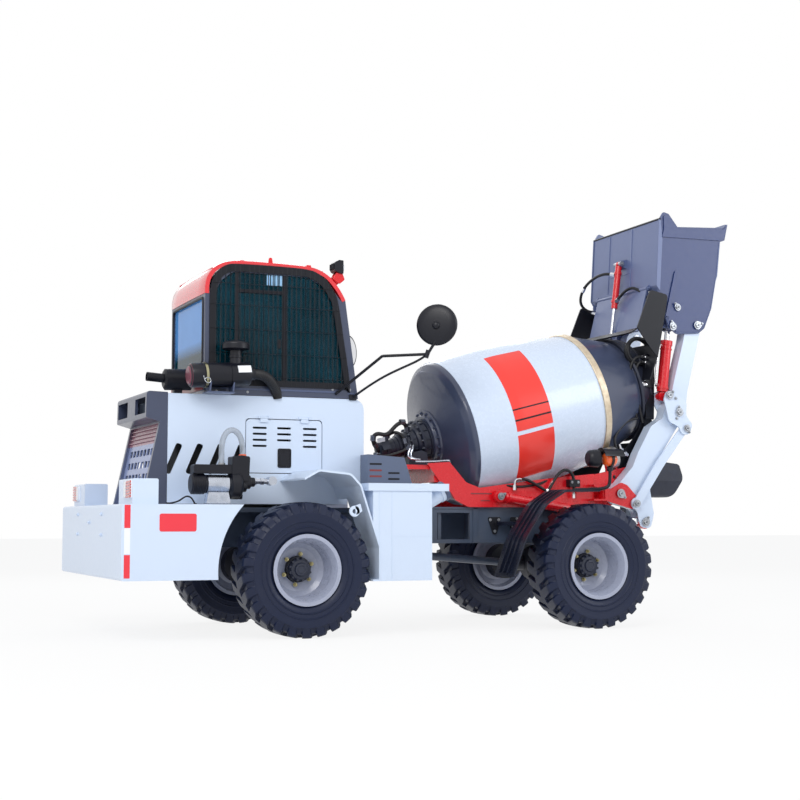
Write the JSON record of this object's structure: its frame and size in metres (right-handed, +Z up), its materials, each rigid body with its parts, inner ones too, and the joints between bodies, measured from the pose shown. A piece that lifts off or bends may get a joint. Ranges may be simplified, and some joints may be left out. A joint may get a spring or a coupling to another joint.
{
  "type": "self-loading concrete mixer",
  "caption": "Articulated self-loading concrete mixer: cab, engine hood and water cistern behind the steering pivot; tilted drum, loading arms and raised bucket in front.",
  "frame": {"origin": "on the ground below the middle of the machine's length and width", "axes": "+X towards the bucket, the direction the drum end faces; +Z up; +Y towards the cab door's side"},
  "size_m": [5.368, 2.148, 3.4502],
  "materials": {
    "body_white": "semi-gloss paint",
    "slate": "semi-gloss paint",
    "bucket_slate": "semi-gloss paint",
    "red": "gloss paint",
    "rim_grey": "silver-grey paint",
    "tyre_black": "ribbed rubber",
    "black_steel": "satin black paint",
    "axle_black": "painted casting",
    "chrome_rod": "polished",
    "zinc": "plated",
    "band_steel": "rolled steel",
    "roller_steel": "machined",
    "glass": "clear",
    "black_plastic": "moulded",
    "lamp_orange": "moulded lens",
    "engine_grey": "casting"
  },
  "bodies": {
    "engine_frame": {"rear_frame": "slate", "rear_axle": "axle_black", "cistern": "body_white", "grille_housing": "slate", "hood": "body_white", "engine": "engine_grey", "exhaust": "black_steel", "cab_shell": "body_white", "cab_roof": "red", "cab_glass": "glass", "window_guard": "black_steel", "seat_and_wheel": "black_plastic", "air_cleaner": "black_plastic", "water_pump": "black_plastic", "rear_fenders": "black_plastic", "side_tanks": "body_white", "valve_cover": "body_white", "mirrors": "black_plastic", "work_lamps": "black_plastic"},
    "hatch": {"hood_hatch": "body_white"},
    "door": {"cab_door": "body_white", "door_glass": "glass"},
    "drum_frame": {"front_frame": "slate", "front_axle": "axle_black", "cradle": "red", "drum_drive": "body_white", "hoppers": "black_steel", "front_mudguards": "black_plastic", "turn_lamps": "lamp_orange"},
    "drum": {"drum_shell": "body_white", "drum_ends": "slate", "drum_band": "band_steel"},
    "near_roller": {"roller_near": "roller_steel"},
    "door_roller": {"roller_door": "roller_steel"},
    "arms": {"loading_arms": "body_white"},
    "cranks": {"bell_cranks": "body_white"},
    "links": {"level_links": "body_white"},
    "bucket_carrier": {"bucket_pins": "zinc"},
    "bucket_body": {"bucket": "bucket_slate"},
    "tilt_cylinders": {"tilt_barrels": "red"},
    "tilt_pistons": {"tilt_rods": "chrome_rod"},
    "lift_cylinders": {"lift_barrels": "red"},
    "lift_pistons": {"lift_rods": "chrome_rod"},
    "gate_flap": {"gate": "bucket_slate"},
    "gate_cylinder": {"gate_barrel": "red"},
    "gate_piston": {"gate_rod": "chrome_rod"},
    "chute_trough": {"chute": "black_steel"},
    "wheel_rear_near": {"tyre_rear_near": "tyre_black", "rim_rear_near": "rim_grey"},
    "wheel_rear_door": {"tyre_rear_door": "tyre_black", "rim_rear_door": "rim_grey"},
    "wheel_front_near": {"tyre_front_near": "tyre_black", "rim_front_near": "rim_grey"},
    "wheel_front_door": {"tyre_front_door": "tyre_black", "rim_front_door": "rim_grey"}
  },
  "joints": [
    {"name": "steering", "type": "hinge", "parent": "engine_frame", "child": "drum_frame", "pos_m": [-0.124, 0, 0.78], "axis": [0, 0, 1], "range_deg": [-30, 30]},
    {"name": "rear_near_wheel_turn", "type": "hinge", "parent": "engine_frame", "child": "wheel_rear_near", "pos_m": [-1.327, -0.854, 0.485], "axis": [0, 1, 0], "continuous": true},
    {"name": "rear_door_wheel_turn", "type": "hinge", "parent": "engine_frame", "child": "wheel_rear_door", "pos_m": [-1.327, 0.854, 0.485], "axis": [0, 1, 0], "continuous": true},
    {"name": "front_near_wheel_turn", "type": "hinge", "parent": "drum_frame", "child": "wheel_front_near", "pos_m": [1.079, -0.854, 0.485], "axis": [0, 1, 0], "continuous": true},
    {"name": "front_door_wheel_turn", "type": "hinge", "parent": "drum_frame", "child": "wheel_front_door", "pos_m": [1.079, 0.854, 0.485], "axis": [0, 1, 0], "continuous": true},
    {"name": "drum_spin", "type": "hinge", "parent": "drum_frame", "child": "drum", "pos_m": [0.676, 0, 1.667], "axis": [0.9681, 0, 0.2504], "continuous": true},
    {"name": "near_roller_spin", "type": "hinge", "parent": "drum_frame", "child": "near_roller", "pos_m": [1.5452, -0.43086, 1.36142], "axis": [0.9681, 0, 0.2504], "continuous": true},
    {"name": "door_roller_spin", "type": "hinge", "parent": "drum_frame", "child": "door_roller", "pos_m": [1.5452, 0.43086, 1.36142], "axis": [0.9681, 0, 0.2504], "continuous": true},
    {"name": "arm_lift", "type": "hinge", "parent": "drum_frame", "child": "arms", "pos_m": [1.566, 0, 1.06], "axis": [0, 1, 0], "range_deg": [0, 95]},
    {"name": "crank_turn", "type": "hinge", "parent": "arms", "child": "cranks", "pos_m": [2.126, 0, 1.745], "axis": [0, 1, 0], "range_deg": [-44, 0]},
    {"name": "link_turn", "type": "hinge", "parent": "drum_frame", "child": "links", "pos_m": [1.71, 0, 0.979], "axis": [0, 1, 0], "range_deg": [0, 112]},
    {"name": "carrier_turn", "type": "hinge", "parent": "arms", "child": "bucket_carrier", "pos_m": [2.346, 0, 2.497], "axis": [0, 1, 0], "range_deg": [-34, 0]},
    {"name": "bucket_tilt", "type": "hinge", "parent": "bucket_carrier", "child": "bucket_body", "pos_m": [2.346, 0, 2.497], "axis": [0, 1, 0], "range_deg": [0, 60]},
    {"name": "tilt_cylinder_turn", "type": "hinge", "parent": "cranks", "child": "tilt_cylinders", "pos_m": [2.03, 0, 1.886], "axis": [0, 1, 0], "range_deg": [0, 55]},
    {"name": "tilt_rod_slide", "type": "slide", "parent": "tilt_cylinders", "child": "tilt_pistons", "axis": [0.1197, 0, 0.9928], "range_m": [0, 0.235]},
    {"name": "lift_cylinder_turn", "type": "hinge", "parent": "drum_frame", "child": "lift_cylinders", "pos_m": [0.476, 0, 1.031], "axis": [0, 1, 0], "range_deg": [0, 5]},
    {"name": "lift_rod_slide", "type": "slide", "parent": "lift_cylinders", "child": "lift_pistons", "axis": [0.9885, 0, -0.1512], "range_m": [-0.5, 0]},
    {"name": "gate_swing", "type": "hinge", "parent": "bucket_body", "child": "gate_flap", "pos_m": [1.946, 0, 2.812], "axis": [0, 1, 0], "range_deg": [0, 60]},
    {"name": "gate_cylinder_turn", "type": "hinge", "parent": "bucket_body", "child": "gate_cylinder", "pos_m": [1.915, 0, 3.081], "axis": [0, 1, 0], "range_deg": [0, 38]},
    {"name": "gate_rod_slide", "type": "slide", "parent": "gate_cylinder", "child": "gate_piston", "axis": [-0.1327, 0, -0.9912], "range_m": [-0.152, 0]},
    {"name": "chute_swing", "type": "hinge", "parent": "drum_frame", "child": "chute_trough", "pos_m": [1.966, 0, 1.036], "axis": [0, 0, 1], "range_deg": [-35, 35]},
    {"name": "door_swing", "type": "hinge", "parent": "engine_frame", "child": "door", "pos_m": [-1.89, 0.497, 2.2], "axis": [0, 0, 1], "range_deg": [0, 85]},
    {"name": "hatch_lift", "type": "hinge", "parent": "engine_frame", "child": "hatch", "pos_m": [-1.331, -0.488, 1.603], "axis": [-1, 0, 0], "range_deg": [0, 100]}
  ],
  "couplings": [
    {"joint": "near_roller_spin", "follows": "drum_spin", "ratio": -6.4444},
    {"joint": "door_roller_spin", "follows": "drum_spin", "ratio": -6.4444},
    {"joint": "crank_turn", "follows": "arm_lift", "ratio": -0.44908},
    {"joint": "link_turn", "follows": "arm_lift", "ratio": 1.1576},
    {"joint": "carrier_turn", "follows": "arm_lift", "ratio": -0.34896},
    {"joint": "tilt_cylinder_turn", "follows": "arm_lift", "ratio": 0.561},
    {"joint": "tilt_rod_slide", "follows": "bucket_tilt", "m_per_rad": 0.2216},
    {"joint": "lift_cylinder_turn", "follows": "arm_lift", "ratio": 0.04998},
    {"joint": "lift_rod_slide", "follows": "arm_lift", "m_per_rad": -0.29972},
    {"joint": "gate_cylinder_turn", "follows": "gate_swing", "ratio": 0.6238},
    {"joint": "gate_rod_slide", "follows": "gate_swing", "m_per_rad": -0.14327}
  ]
}
